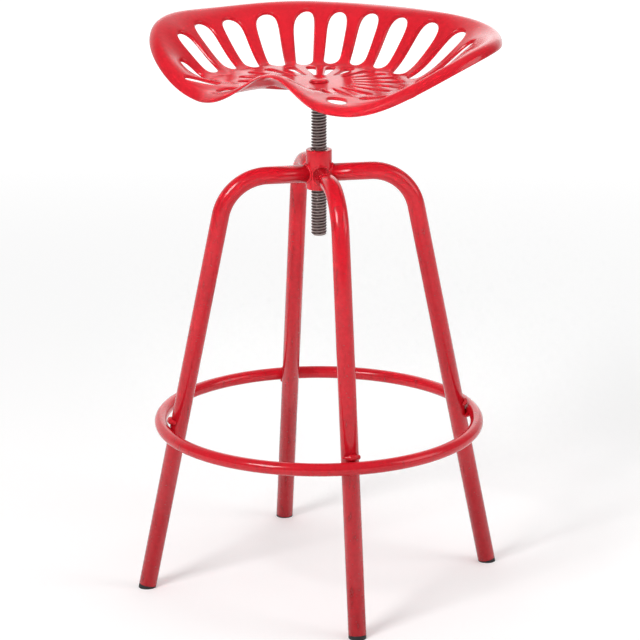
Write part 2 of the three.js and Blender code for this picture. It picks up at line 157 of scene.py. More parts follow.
# %% [markdown]
# The floor is a plain white sheet. Its own colour is white and the lamps light
# it almost to white near the stool. A glow that only the camera and reflections
# see takes it the rest of the way. It is weak round the stool, where the soft
# shadow has to stay, and grows with the distance, where the lamps don't reach.

# %% Floor
FLOOR_HALF = 20
PAPER_WHITE = (0.86, 0.86, 0.86, 1)
GLOW_WHITE = (1, 1, 1, 1)
GLOW_NEAR, GLOW_ADDED = 0.16, 0.5
GLOW_GROWS_FROM, GLOW_GROWS_TO = 0.6, 4.5

floor_mesh = bpy.data.meshes.new("floor")
sheet = bmesh.new()
bmesh.ops.create_grid(sheet, x_segments=1, y_segments=1, size=FLOOR_HALF)
sheet.to_mesh(floor_mesh)
sheet.free()
floor = bpy.data.objects.new("floor", floor_mesh)
bpy.context.scene.collection.objects.link(floor)


def seen_directly(tree):
    """1 for the camera and for what it sees in gloss or through glass."""
    camera_ray = tree.add("ShaderNodeLightPath", output="Is Camera Ray")
    glossy_ray = tree.add("ShaderNodeLightPath", output="Is Glossy Ray")
    clear_ray = tree.add("ShaderNodeLightPath", output="Is Transmission Ray")
    return tree.maths("MAXIMUM", tree.maths("MAXIMUM", camera_ray, glossy_ray), clear_ray)


floor_white, tree = new_finish("floor_white")
paper = tree.add("ShaderNodeBsdfDiffuse", {}, {"Color": PAPER_WHITE})
distance = tree.place().length().step(GLOW_GROWS_FROM, GLOW_GROWS_TO)
strength = seen_directly(tree) * (GLOW_NEAR + distance * GLOW_ADDED)
glow = tree.add("ShaderNodeEmission", {}, {"Color": GLOW_WHITE, "Strength": strength})
show(tree, tree.add("ShaderNodeAddShader", {}, {0: paper, 1: glow}))
floor_mesh.materials.append(floor_white)
print("floor is", round(floor.dimensions.x), "m wide")

# %% [markdown]
# A white studio is pale on every side, and that light alone would leave the
# stool flat. So the surround lights the stool at less than half of white, while
# the camera sees it as plain white. In a glossy surface only the side behind
# the stool shows at full brightness, as in a room whose other walls are dim.

# %% Surround
SURROUND_LIGHT, SURROUND_SEEN, SURROUND_DIMMED = 0.42, 0.58, 0.75
BEHIND_FROM, BEHIND_TO = 0.4, 0.85

world = bpy.data.worlds.new("studio")
world.use_nodes = True
world.node_tree.nodes.clear()
tree = Sock(world.node_tree)
direction = tree.add("ShaderNodeTexCoord", output="Generated")
backwards = tree.add("ShaderNodeSeparateXYZ", {}, {"Vector": direction}, "Y")
behind = backwards.step(BEHIND_FROM, BEHIND_TO)
glossy = tree.add("ShaderNodeLightPath", output="Is Glossy Ray")
dimmed = glossy * (1 - behind) * SURROUND_DIMMED
brightness = SURROUND_LIGHT + seen_directly(tree) * SURROUND_SEEN - dimmed
surround = tree.add(
    "ShaderNodeBackground", {}, {"Color": GLOW_WHITE, "Strength": brightness}
)
tree.add("ShaderNodeOutputWorld", {}, {"Surface": surround})
bpy.context.scene.world = world
bpy.context.scene.view_settings.view_transform = "Standard"
print("the surround lights the stool at", SURROUND_LIGHT, "of white")

# %% [markdown]
# A soft key lamp stands up on the left, a broad one hangs overhead, a weak one
# is on the right, and a wide one behind gives the level faces of the seat their
# pale shine. Together with the surround they light a surface to about the
# colour that its material is given. A narrow lamp lifts the hub, which the seat
# shades. Neither it nor the top lamp shows in a glossy surface.

# %% Lamps
MIDDLE_OF_STOOL = (0, 0, 0.45)


def lamp(name, place, width, watts, aim=MIDDLE_OF_STOOL, in_gloss=True, spread=180):
    """A square lamp that faces its aim. spread is its beam's angle in degrees."""
    data = bpy.data.lights.new(name, "AREA")
    data.shape = "SQUARE"
    data.size = width
    data.energy = watts
    data.spread = math.radians(spread)
    holder = bpy.data.objects.new(name, data)
    holder.visible_camera = False
    holder.visible_glossy = in_gloss
    holder.location = place
    facing = Vector(aim) - Vector(place)
    holder.rotation_euler = facing.to_track_quat("-Z", "Y").to_euler()
    bpy.context.scene.collection.objects.link(holder)
    return holder


lamps = [
    lamp("key_lamp", (-2.0, -1.5, 2.2), width=1.0, watts=52),
    lamp("top_lamp", (0.3, 0.5, 3.0), width=2.4, watts=24, in_gloss=False),
    lamp("side_lamp", (2.3, -1.2, 1.5), width=1.6, watts=20),
    lamp("back_lamp", (0.9, 3.6, 1.5), width=2.2, watts=8, aim=(0, 0, 0.6)),
    lamp(
        "hub_lamp",
        (-0.5, -1.7, 1.5),
        width=0.3,
        watts=0.14,
        aim=(0, 0, 0.53),
        in_gloss=False,
        spread=14,
    ),
]
print(len(lamps), "lamps,", round(sum(item.data.energy for item in lamps)), "watts")

# %% [markdown]
# The paint is a thick glossy red enamel over steel. Seen close, its colour is
# a little uneven, short brown-red rubs and specks run along it, and its skin
# has the fine dimples of sprayed paint. A painted texture could hold all that,
# but it would need the surface laid out flat. So all of it is noise in the
# object's own coordinates, which stays on the piece when the seat turns.

# %% Red enamel
RED = (0.66, 0.010, 0.022, 1)
RED_DEEP = (0.50, 0.007, 0.016, 1)
RUB = (0.13, 0.010, 0.010, 1)
WAVES_A_METRE = {"cloud": 9, "mottle": 190, "streak": 60, "speck": 420, "dimple": 330, "swell": 46}
SKIN_STRENGTH, SKIN_DEPTH = 0.35, 0.0004


def red_enamel(name, stretch, rubs, dimples):
    """stretch squeezes the pattern across each direction, so rubs run along a tube."""
    material, tree = new_finish(name)
    place = tree.place()
    long_place = tree.add("ShaderNodeMapping", {}, {"Vector": place, "Scale": stretch})
    cloud = place.grain(WAVES_A_METRE["cloud"], 3.0)
    mottle = place.grain(WAVES_A_METRE["mottle"], 2.0)
    streak = long_place.grain(WAVES_A_METRE["streak"], 4.0).step(0.60, 0.72)
    speck = place.grain(WAVES_A_METRE["speck"], 1.0).step(0.66, 0.74)
    tone = (cloud * 0.7 + mottle * 0.5).step(0.35, 0.9)
    worn = (streak * 0.55 + speck * 0.6) * rubs
    dimple = place.grain(WAVES_A_METRE["dimple"], 1.0)
    swell = place.grain(WAVES_A_METRE["swell"], 1.0)
    skin = dimple * dimples + swell * 0.55
    enamel = tree.add(
        "ShaderNodeBsdfPrincipled",
        {},
        {
            "Base Color": worn.blend(tone.blend(RED, RED_DEEP), RUB),
            "Roughness": 0.10 + mottle * 0.10 + worn * 0.3,
            "Normal": skin.bump(SKIN_STRENGTH, SKIN_DEPTH),
            "Specular IOR Level": 0.4,
        },
    )
    show(tree, enamel)
    return material


tube_red = red_enamel("tube_enamel", stretch=(3.0, 3.0, 0.5), rubs=0.8, dimples=0.25)
seat_red = red_enamel("seat_enamel", stretch=(1.6, 1.6, 1.6), rubs=0.35, dimples=1.0)
print("enamels:", tube_red.name, seat_red.name)

# %% [markdown]
# The post is blackened steel: a dark brown-grey oxide on the thread's crests.
# Down in its grooves the colour turns pale, a painted highlight that stands in
# for the glint on the thread's flanks. The distance from the post's axis tells
# groove from crest. It is metallic and satin rather than bright.

# %% Blackened steel
OXIDE, OXIDE_WORN = (0.040, 0.026, 0.027, 1), (0.15, 0.10, 0.10, 1)
# Pale colour for the grooves: a painted highlight for the glint on the thread's flanks.
GROOVE_PAINTED_GLINT = (0.52, 0.45, 0.43, 1)
GROOVE_ENDS, CREST_BEGINS = 0.0080, 0.0091
LEVEL_ONLY = (1, 1, 0)

dark_steel, tree = new_finish("dark_steel")
place = tree.place()
bloom = place.grain(240, 3.0)
level_place = tree.add(
    "ShaderNodeVectorMath", {"operation": "MULTIPLY"}, {0: place, 1: LEVEL_ONLY}
)
crest = level_place.length().step(GROOVE_ENDS, CREST_BEGINS)
oxide = bloom.step(0.35, 0.75).blend(OXIDE, OXIDE_WORN)
steel = tree.add(
    "ShaderNodeBsdfPrincipled",
    {},
    {
        # Oxide on the crests, and in the grooves a painted highlight for the flanks' glint.
        "Base Color": crest.blend(GROOVE_PAINTED_GLINT, oxide),
        "Metallic": 0.85,
        "Roughness": 0.22 + bloom * 0.2,
        "Normal": bloom.bump(0.2, 0.0002),
    },
)
show(tree, steel)
print("steel finish:", dark_steel.name)

# %% [markdown]
# The foot plugs are moulded in matt black plastic. A floor scuffs them, so
# small paler spots break the black, and the surface is a little uneven.

# %% Black plastic
MOULDED_BLACK, SCUFFED_BLACK = (0.012, 0.012, 0.013, 1), (0.03, 0.03, 0.03, 1)

black_plastic, tree = new_finish("black_plastic")
scuff = tree.place().grain(500, 2.0)
plastic = tree.add(
    "ShaderNodeBsdfPrincipled",
    {},
    {
        "Base Color": scuff.step(0.5, 0.8).blend(MOULDED_BLACK, SCUFFED_BLACK),
        "Roughness": 0.5 + scuff * 0.2,
        "Normal": scuff.bump(0.25, 0.0002),
    },
)
show(tree, plastic)
print("plastic finish:", black_plastic.name)

# %% [markdown]
# Sizes are the same millimetres as in the solids. Most pieces here are a line
# or a circle spun round an axis through the origin, where the post stands. The
# spin, the closing of open ends and the level cut are therefore written once.

# %% Units and shaping
MM = 0.001
SAME_PLACE = 0.002


def merged(shape):
    """Close the seams and point the faces outwards."""
    bmesh.ops.remove_doubles(shape, verts=shape.verts, dist=SAME_PLACE * MM)
    bmesh.ops.recalc_face_normals(shape, faces=shape.faces)
    return shape


def spin_once(shape, steps, axis=(0, 0, 1)):
    """Spin a line or circle all the way round an axis through the origin."""
    bmesh.ops.spin(
        shape,
        geom=shape.verts[:] + shape.edges[:],
        cent=(0, 0, 0),
        axis=axis,
        angle=2 * math.pi,
        steps=steps,
        use_merge=True,
    )


def close_ends(shape):
    bmesh.ops.holes_fill(shape, edges=[edge for edge in shape.edges if edge.is_boundary])


def cut_level(shape, height, side):
    """Cut off what is above a height where side is 1, or below it where side is -1."""
    bmesh.ops.bisect_plane(
        shape,
        geom=shape.verts[:] + shape.edges[:] + shape.faces[:],
        plane_co=(0, 0, height * MM),
        plane_no=(0, 0, side),
        clear_outer=True,
    )
    close_ends(shape)


def vertices_of(geometry):
    return [item for item in geometry if isinstance(item, bmesh.types.BMVert)]


def edges_of(geometry):
    return [item for item in geometry if isinstance(item, bmesh.types.BMEdge)]


print("one unit is", MM, "m")

# %% [markdown]
# A modelled shape becomes a piece in one place too: its faces are shaded smooth
# up to a given angle, it rides on its body, and the solids that it stands for
# are hidden. Most of the red pieces belong to the frame.

# %% Finishing a piece
SHARP_FROM, ALL_SMOOTH = 40, 180


def finish_piece(name, shape, body, material, nodes, crease=SHARP_FROM):
    mesh = bpy.data.meshes.new(name)
    shape.to_mesh(mesh)
    shape.free()
    mesh.shade_smooth()
    mesh.set_sharp_from_angle(angle=math.radians(crease))
    mesh.materials.append(material)
    piece = bpy.data.objects.new(name, mesh)
    bpy.context.scene.collection.objects.link(piece)
    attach(piece, body)
    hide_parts(*nodes)
    print(name, "faces:", len(mesh.polygons))
    return piece


def finish_frame_piece(name, shape, node, crease=SHARP_FROM):
    return finish_piece(name, shape, "frame", tube_red, [node], crease)


print("a piece gets a sharp edge where it turns by over", SHARP_FROM, "degrees")

# %% [markdown]
# The seat is a casting: a rounded shell whose wall climbs to a rolled rim, with
# a hump between the thighs. A cage pulled by hand and subdivided could make it,
# but its rim would drift from the solid's. So its outline and rim height are
# smooth waves round the seat, the same ones as in the solids. The rim also
# stands out at the two rear corners, and dips a little on both flanks of the
# hump. Angles count from the hump, and lengths are in millimetres.

# %% Seat rim
PAN_HEIGHT = 639.6
REACH = 184.1
REACH_WAVES = (1, -0.1315, -0.178, 0.002, 0.028, 0.003)
RISE = 44.4
RISE_WAVES = (1, -0.685, -0.14, 0.172, 0.261, 0.124)
CORNER_REACH, CORNER_AT, CORNER_HALF = 15, 134, 30
FLANK_DIP, FLANK_AT, FLANK_HALF = 4.5, 19, 17


def waves(shares, angle):
    return sum(share * math.cos(n * angle) for n, share in enumerate(shares))


def near(angle, half, middle=0):
    """1 at so many degrees from the hump on both sides, falling to 0 half further."""
    away = abs(abs(angle) - math.radians(middle))
    return math.cos(math.pi / 2 * min(away / math.radians(half), 1)) ** 2


def rim_reach(angle):
    corner = near(angle, CORNER_HALF, CORNER_AT)
    return REACH * waves(REACH_WAVES, angle) + CORNER_REACH * corner


def rim_height(angle):
    flank = near(angle, FLANK_HALF, FLANK_AT)
    return PAN_HEIGHT + RISE * waves(RISE_WAVES, angle) - FLANK_DIP * flank


print("rim:", [round(rim_height(math.radians(a))) for a in (0, 60, 120, 180)], "mm high")

# %% [markdown]
# From the level pan the wall climbs to the rim in one soft step. The step runs
# from a foot to a head, both given as a share of the way to the rim. Its foot
# moves in towards the post in front, to make the hump long and gentle, and the
# thigh places beside the hump swell a little. The lower face follows the upper
# one at the shell's thickness, measured at right angles to the slope.

# %% Seat surface
SHELL = 4.3
WALL_FOOT, WALL_FOOT_IN_FRONT, WALL_FOOT_AT_SIDES = 0.51, 0.26, 0.18
WALL_HEAD, WALL_HEAD_AT_BACK = 0.99, 0.92
FRONT_HALF, BACK_HALF, HUMP_HALF = 75, 66, 37
SIDE_AT, SIDE_HALF = 66, 25
THIGH_SWELL, THIGH_SWELL_AT = 7, 0.6


def soft_step(value, low, high):
    if high <= low:
        return float(value >= high)
    t = min(max((value - low) / (high - low), 0), 1)
    return t * t * (3 - 2 * t)


def pan_surface(x, y):
    """Height of the upper face over a place in the seat, hump towards -Y."""
    angle = math.atan2(x, -y)
    share = math.hypot(x, y) / rim_reach(angle)
    front = near(angle, FRONT_HALF)
    side = near(angle, SIDE_HALF, SIDE_AT)
    back = near(angle, BACK_HALF, 180)
    foot = WALL_FOOT + (WALL_FOOT_IN_FRONT - WALL_FOOT) * front + WALL_FOOT_AT_SIDES * side
    head = WALL_HEAD + (WALL_HEAD_AT_BACK - WALL_HEAD) * back
    climb = soft_step(share, foot, head)
    thigh = front * (1 - near(angle, HUMP_HALF))
    rising, falling = (foot, THIGH_SWELL_AT), (THIGH_SWELL_AT, 1)
    swell = THIGH_SWELL * thigh * soft_step(share, *rising) * (1 - soft_step(share, *falling))
    return PAN_HEIGHT + (rim_height(angle) - PAN_HEIGHT) * climb + swell


def under_surface(x, y):
    """The lower face, a shell's thickness away at right angles."""
    here = pan_surface(x, y)
    slope = math.hypot(pan_surface(x + 1, y) - here, pan_surface(x, y + 1) - here)
    return here - SHELL * math.hypot(1, slope)


print("the pan is", round(pan_surface(0, 0) - under_surface(0, 0), 1), "mm thick")

# %% [markdown]
# The slots decide how the shell is divided. A boolean cut would leave ragged
# faces round each of them. Instead, twenty-two cells stand side by side round
# the seat, each six columns wide, with cell 0 at the back. The inner ring of
# cells holds the teardrops. The outer ring, which fans out from a point ahead
# of the post, holds the long slots, the two side slots and the two ovals. So
# each slot's outline follows rows and columns of the shell, and stays clean.

# %% Cells and the fan
CELLS, WIDE = 22, 6
COLUMNS = CELLS * WIDE
BEFORE_BACK = 10
ALL_CELLS = range(-BEFORE_BACK, CELLS - BEFORE_BACK)
MIDDLE_COLUMN = WIDE // 2
FAN_AHEAD = 0.182 * REACH
FAN_PITCH = 13.7
HALVINGS = 40
CENTRE = Vector((0, 0))
FAN = Vector((0, -FAN_AHEAD))


def cell_of(column):
    """The cell that a column is in, and its place there: 0 is the strut beside a slot."""
    return column // WIDE - BEFORE_BACK, column % WIDE


def ray(angle):
    """Unit vector at an angle from the back of the seat."""
    return Vector((math.sin(angle), math.cos(angle)))


def rim_along(angle, gap=0.0):
    """How far a ray from the fan's centre runs before it is a gap from the rim."""
    low, high = 0.0, 2 * REACH
    for _ in range(HALVINGS):
        middle = (low + high) / 2
        spot = FAN + middle * ray(angle)
        inside = spot.length < rim_reach(math.atan2(spot.x, -spot.y)) - gap
        low, high = (middle, high) if inside else (low, middle)
    return low


print(CELLS, "cells,", round(rim_along(0)), "mm from the fan's centre to the back edge")

# %% [markdown]
# Every slot is the same shape with other sizes: two round ends joined by
# straight sides. The rows of the shell cross it from end to end. The first and
# last rows are the arcs of the ends, and the rows between lie on its sides. A
# strut's rows run past the ends of its slot, or the arcs would pinch there.

# %% The shape of a slot
ARC_STEP = 30
PAST_THE_END = 0.7


class Slot:
    """Two round ends on an axis: middles, radii and the way across."""

    def __init__(self, start, direction, near_end, far_end, near_radius, far_radius):
        self.along = direction
        self.across = Vector((direction.y, -direction.x))
        self.near = start + direction * (near_end + near_radius)
        self.far = start + direction * (far_end - far_radius)
        self.radii = (near_radius, far_radius)
        self.flare = math.asin((far_radius - near_radius) / (self.far - self.near).length)

    def end_point(self, far, column):
        """Columns 1 to 5 lie on an end's arc, 30 degrees apart."""
        turn = math.radians(ARC_STEP * (column - MIDDLE_COLUMN))
        middle, radius = (self.far, self.radii[1]) if far else (self.near, self.radii[0])
        out = self.along * math.cos(turn) * (1 if far else -1)
        return middle + radius * (out + self.across * math.sin(turn))

    def side_point(self, share, column):
        """Columns 1 and 5 run along the two sides, the others between them."""
        place = self.near.lerp(self.far, share)
        radius = self.radii[0] + (self.radii[1] - self.radii[0]) * share
        half = self.across * math.cos(self.flare) * (column - MIDDLE_COLUMN) / 2
        return place + radius * (half - self.along * math.sin(self.flare))

    def point(self, row, shares, column):
        """A corner in the slot's own rows. shares say where the rows between the ends lie."""
        if 0 < row <= len(shares):
            return self.side_point(shares[row - 1], column)
        return self.end_point(row > 0, column)

    def beside(self, row, shares, origin):
        """How far from an origin a row crosses the strut beside the slot."""
        if row == 0:
            return (self.near - origin).length - PAST_THE_END * self.radii[0]
        if row > len(shares):
            return (self.far - origin).length + PAST_THE_END * self.radii[1]
        return (self.near.lerp(self.far, shares[row - 1]) - origin).length


print("a slot's end has", 180 // ARC_STEP - 1, "corners on its arc")

# %% [markdown]
# The long slots fill the wall's back and sides and end at a gap from the rim,
# which grows towards the sides. A side slot and an oval follow on each side,
# and the three cells at the hump stay bare. The teardrops stand all round the
# bolt and reach a little further at the sides. A casting is drafted so that it
# leaves its mould, so a long slot is narrower below than above.

# %% All the slots
LONG_SLOTS_A_SIDE = 7
LONG_START = 0.727 * REACH
LONG_GAP, LONG_EXTRA_GAP = 25, 9
LONG_SHARE_OF_PITCH = 0.68
LONG_FILL = math.sin(math.radians(LONG_SHARE_OF_PITCH * FAN_PITCH / 2))
LONG_DRAFT = 2.4
SIDE_SLOT_AT = 115
SIDE_SLOT_ENDS = (0.563 * REACH, 0.806 * REACH)
SIDE_SLOT_RADII = (9, 4.5)
OVAL_AT, OVAL_RADIUS = 144, 11.5
OVAL_REACH, OVAL_LENGTH = 0.67 * REACH, 0.168 * REACH
TEAR_START, TEAR_REACH, TEAR_EXTRA_REACH = 0.233 * REACH, 0.497 * REACH, 13
TEAR_EXTRA_AT, TEAR_EXTRA_HALF = 100, 80
TEAR_RADII = (1.3, 6.4)


def outer_slot(cell, draft=0.0):
    """A long slot is narrower by a draft on each side where it comes out below."""
    step = abs(cell)
    side = 1 if cell > 0 else -1
    if step <= LONG_SLOTS_A_SIDE:
        angle = math.radians(cell * FAN_PITCH)
        towards_side = (step / LONG_SLOTS_A_SIDE) ** 2
        far = rim_along(angle, LONG_GAP + LONG_EXTRA_GAP * towards_side)
        near_radius = LONG_START * LONG_FILL / (1 - LONG_FILL) - draft
        far_radius = far * LONG_FILL / (1 + LONG_FILL) - draft
        return Slot(FAN, ray(angle), LONG_START, far, near_radius, far_radius)
    if step == LONG_SLOTS_A_SIDE + 1:
        outward = ray(math.radians(side * SIDE_SLOT_AT))
        return Slot(FAN, outward, *SIDE_SLOT_ENDS, *SIDE_SLOT_RADII)
    if step == LONG_SLOTS_A_SIDE + 2:
        outward = ray(math.radians(side * OVAL_AT))
        half = OVAL_LENGTH / 2
        return Slot(OVAL_REACH * outward, outward, -half, half, OVAL_RADIUS, OVAL_RADIUS)
    return None


def tear_slot(cell):
    """A teardrop reaches a little further towards the sides of the seat."""
    angle = 2 * math.pi * cell / CELLS
    towards_side = near(math.pi - abs(angle), TEAR_EXTRA_HALF, TEAR_EXTRA_AT)
    far = TEAR_REACH + TEAR_EXTRA_REACH * towards_side
    return Slot(CENTRE, ray(angle), TEAR_START, far, *TEAR_RADII)


outer_slots = {cell: outer_slot(cell) for cell in ALL_CELLS}
lower_slots = {cell: outer_slot(cell, LONG_DRAFT) for cell in ALL_CELLS}
tears = {cell: tear_slot(cell) for cell in ALL_CELLS}
print("slots:", len([s for s in outer_slots.values() if s]) + len(tears))

# %% [markdown]
# Each row of the shell gets its place in plan. Rows near the bolt are circles.
# Then come the rows of the teardrops, two in between, the rows of the outer
# slots, two more, and the lip, whose rows curl over the edge and back
# underneath. The lower face has the same rows in the opposite order.

# %% Rows and columns
HUB_ROWS = (6, 12, 20, 30, 38)
TEAR_SHARES = (0, 0.5, 1)
SLOT_SHARES = (0, 0.25, 0.5, 0.75, 1)
TEAR_ROW = len(HUB_ROWS)
TEAR_END = TEAR_ROW + len(TEAR_SHARES) + 1
SLOT_ROW = TEAR_END + 3
SLOT_END = SLOT_ROW + len(SLOT_SHARES) + 1
LIP_ROW = SLOT_END + 3
LIP_TURNS = (22.5, 45, 67.5, 90)
ROWS = 2 * (LIP_ROW + 1 + len(LIP_TURNS) + 1)
BORDERS = [(i + 0.5) * FAN_PITCH for i in range(LONG_SLOTS_A_SIDE)]
BORDERS += [105.5, 123.7, 144.4, 168.0, 192.0]


def border_angle(index):
    """Border between outer cells: index 0 lies between cells 0 and 1."""
    if index < 0:
        return -border_angle(-index - 1)
    return math.radians(BORDERS[index])


def column_angle(column):
    """Direction of a column in the outer ring, about the fan's centre."""
    cell, place = cell_of(column)
    low, high = border_angle(cell - 1), border_angle(cell)
    return low + (high - low) * place / WIDE


def rim_direction(column):
    angle = column_angle(column)
    return (FAN + rim_along(angle) * ray(angle)).normalized()


rim_directions = [rim_direction(column) for column in range(COLUMNS)]
print(ROWS, "rows by", COLUMNS, "columns")

# %% [markdown]
# A corner's place in plan follows from its row and column. In a slot's columns
# it lies on the slot, and on a strut it lies halfway between what the slots on
# both sides ask for. The three bare cells at the hump share out their rows from
# a start near the post to a gap from the rim.

# %% Plan of the shell
BARE_START = {10: 66, 11: 62}
BARE_GAP = 20
LIP_INSET = 8.0


def tear_place(row, column):
    cell, place = cell_of(column)
    if place:
        return tears[cell].point(row - TEAR_ROW, TEAR_SHARES, place)
    reach = tears[cell].beside(row - TEAR_ROW, TEAR_SHARES, CENTRE)
    return reach * ray(2 * math.pi * (cell - 0.5) / CELLS)


def outer_reach(cell, row, angle):
    """Distance of an outer cell's row from the fan's centre, on its strut or bare."""
    slot = outer_slots[cell]
    if slot:
        return slot.beside(row - SLOT_ROW, SLOT_SHARES, FAN)
    low, high = BARE_START[abs(cell)], rim_along(angle, BARE_GAP)
    return low + (high - low) * (row - SLOT_ROW) / (SLOT_END - SLOT_ROW)


def slot_place(row, column, lower):
    cell, place = cell_of(column)
    slot = (lower_slots if lower else outer_slots)[cell]
    if place and slot:
        return slot.point(row - SLOT_ROW, SLOT_SHARES, place)
    angle = column_angle(column)
    reach = outer_reach(cell, row, angle)
    if place == 0:
        before = cell - 1 if cell > ALL_CELLS[0] else ALL_CELLS[-1]
        reach = (reach + outer_reach(before, row, angle)) / 2
    return FAN + reach * ray(angle)


def plan_place(row, column, lower):
    if row < TEAR_ROW:
        return HUB_ROWS[row] * ray(2 * math.pi * (column / WIDE - (BEFORE_BACK + 0.5)) / CELLS)
    if row <= TEAR_END:
        return tear_place(row, column)
    if row < SLOT_ROW:
        share = (row - TEAR_END) / (SLOT_ROW - TEAR_END)
        return tear_place(TEAR_END, column).lerp(slot_place(SLOT_ROW, column, lower), share)
    if row <= SLOT_END:
        return slot_place(row, column, lower)
    out = rim_directions[column]
    edge = out * (rim_reach(math.atan2(out.x, -out.y)) - LIP_INSET)
    share = (row - SLOT_END) / (LIP_ROW - SLOT_END)
    return slot_place(SLOT_END, column, lower).lerp(edge, share)


print("the hump's last row in plan:", [round(v) for v in plan_place(SLOT_END, 0, False)])

# %% [markdown]
# The rim is rolled: its edge turns over in a quarter of a circle and ends in a
# short upright skirt. A bevel along the edge could round it, but its radius
# has to change on the way: the roll is thin over the hump and wide beside it,
# where the thighs rest. The rows of the lip are therefore placed one by one,
# on the outside and, a wall's thickness further in, on the inside.

# %% The rolled lip
LIP_OVERHANG, LIP_DROP, LIP_SKIRT = 3.3, 10.3, 1.0
HUMP_THINNING, HUMP_THIN_HALF = 0.78, 30
THIGH_WIDENING, THIGH_WIDE_AT, THIGH_WIDE_HALF = 12, 25, 21
FULL_TURN, SKIRT_TURN = 90, 91


def lip_place(turn, column, inside):
    """A corner on the lip, as many degrees along its arc as turn says."""
    out = rim_directions[column]
    angle = math.atan2(out.x, -out.y)
    weight = 1 - HUMP_THINNING * near(angle, HUMP_THIN_HALF)
    drop, skirt = LIP_DROP * weight, LIP_SKIRT * weight
    thigh = near(angle, THIGH_WIDE_HALF, THIGH_WIDE_AT)
    width = LIP_INSET + LIP_OVERHANG + THIGH_WIDENING * thigh - (SHELL if inside else 0)
    fall = max(drop - SHELL, skirt) if inside else drop
    lowered = skirt if turn > FULL_TURN else 0
    bend = math.radians(min(turn, FULL_TURN))
    spot = out * (rim_reach(angle) - LIP_INSET + width * math.sin(bend))
    return spot.x, spot.y, rim_height(angle) - drop + fall * math.cos(bend) - lowered


def shell_place(row, column):
    """Where a corner of the shell goes. The lower half of the rows runs back inwards."""
    lower = row >= ROWS // 2
    level = ROWS - 1 - row if lower else row
    if level <= LIP_ROW and not (lower and level == LIP_ROW):
        x, y = plan_place(level, column, lower)
        if level == LIP_ROW:
            return x, y, rim_height(math.atan2(x, -y))
        return x, y, under_surface(x, y) if lower else pan_surface(x, y)
    turns = (0, *LIP_TURNS, SKIRT_TURN)
    return lip_place(turns[level - LIP_ROW], column, lower)


print("the lip's edge over the hump:", [round(v) for v in lip_place(FULL_TURN, 0, False)])

# %% [markdown]
# The shell itself starts as a ring: a circle with one corner for each row,
# spun once round the post. Each corner's two angles in the ring tell its row
# and its column, and moving every corner to its place turns the ring into the
# seat. The seat is then turned on its thread as in the photograph.

# %% Seat shell
SECTION_AT, SECTION_RADIUS = 300 * MM, 100 * MM
RING_SEAM = 0.01 * MM
SEAT_TURN = math.radians(-38.2)

shell = bmesh.new()
upright = Matrix.Rotation(math.pi / 2, 4, "X") @ Matrix.Rotation(-math.pi / 2, 4, "Z")
upright.translation.x = SECTION_AT
bmesh.ops.create_circle(shell, segments=ROWS, radius=SECTION_RADIUS, matrix=upright)
spin_once(shell, COLUMNS)
bmesh.ops.remove_doubles(shell, verts=shell.verts, dist=RING_SEAM)

address = {}
for corner in shell.verts:
    around = math.atan2(corner.co.y, corner.co.x)
    over = math.atan2(corner.co.z, math.hypot(corner.co.x, corner.co.y) - SECTION_AT)
    row = round(over / (2 * math.pi) * ROWS) % ROWS
    address[corner] = (row, round(around / (2 * math.pi) * COLUMNS) % COLUMNS)
turned_seat = Matrix.Rotation(SEAT_TURN, 4, "Z")
for corner, (row, column) in address.items():
    corner.co = turned_seat @ Vector(shell_place(row, column)) * MM
print("shell corners:", len(shell.verts), "distinct:", len(set(address.values())))

# %% [markdown]
# A slot is cut by taking out its faces above and below. Each open edge above
# is then joined to the one under it by a panel of wall, which closes the shell
# again. The rows and columns of an edge's corners say which one lies under it.


# %% Slots cut through the shell
def in_a_slot(face):
    rows, columns = zip(*(address[corner] for corner in face.verts))
    cell, place = cell_of(min(columns))
    if place == 0 or max(columns) - min(columns) + place >= WIDE:
        return False
    holes = [(TEAR_ROW, TEAR_END)]
    if outer_slots[cell]:
        holes.append((SLOT_ROW, SLOT_END))
    levels = [min(row, ROWS - 1 - row) for row in rows]
    return any(low <= min(levels) and max(levels) <= high for low, high in holes)


lost = [face for face in shell.faces if in_a_slot(face)]
bmesh.ops.delete(shell, geom=lost, context="FACES")
upper_edges = {}
lower_edges = {}
for edge in shell.edges:
    if edge.is_boundary:
        ends = frozenset(address[corner] for corner in edge.verts)
        if max(row for row, column in ends) < ROWS // 2:
            upper_edges[ends] = edge
        else:
            lower_edges[frozenset((ROWS - 1 - row, column) for row, column in ends)] = edge
for ends, edge in upper_edges.items():
    bmesh.ops.bridge_loops(shell, edges=[edge, lower_edges[ends]])
bmesh.ops.recalc_face_normals(shell, faces=shell.faces)
print("slot wall panels:", len(upper_edges))

# %% [markdown]
# The edges of a casting's slots are never sharp. A narrow bevel rounds them,
# and one level of subdivision softens the rest of the shell. Without the bevel
# the subdivision would eat far into the struts.

# %% Rounded slot edges
SLOT_EDGE = 1.2

bmesh.ops.bevel(
    shell,
    geom=[*upper_edges.values(), *lower_edges.values()],
    offset=SLOT_EDGE * MM,
    offset_type="OFFSET",
    segments=2,
    profile=0.5,
    affect="EDGES",
    clamp_overlap=False,
    material=-1,
)
bmesh.ops.recalc_face_normals(shell, faces=shell.faces)
seat_pan = finish_piece("seat_pan", shell, "seat", seat_red, ["seat"], ALL_SMOOTH)
softened = seat_pan.modifiers.new("soften", "SUBSURF")
softened.levels = softened.render_levels = 1

# %% [markdown]
# Each leg is a length of round tube: level out of the hub, round one wide bend
# and straight down, leaning out. A curve with a round bevel would do, but its
# first ring couldn't be shaped to the hub. So a circle is pushed, spun and
# pushed again, and a Solidify modifier gives the tube its wall.

# %% Legs
FOOT_REACH, LEG_TOP, BEND = 221.8, 525.3, 60.0
LEG_RADIUS, LEG_WALL = 11.0, 1.5
LEG_CORNERS, BEND_STEPS = 48, 28
TILT = math.radians(11.63)
TUBE_END = 3.5
HUB_RADIUS, HUB_JOINT = 16.0, 0.2
SIDES = ("right", "back", "left", "front")


def leg_reach(height):
    """How far from the post a leg's axis is at a height."""
    return FOOT_REACH - height * math.tan(TILT)


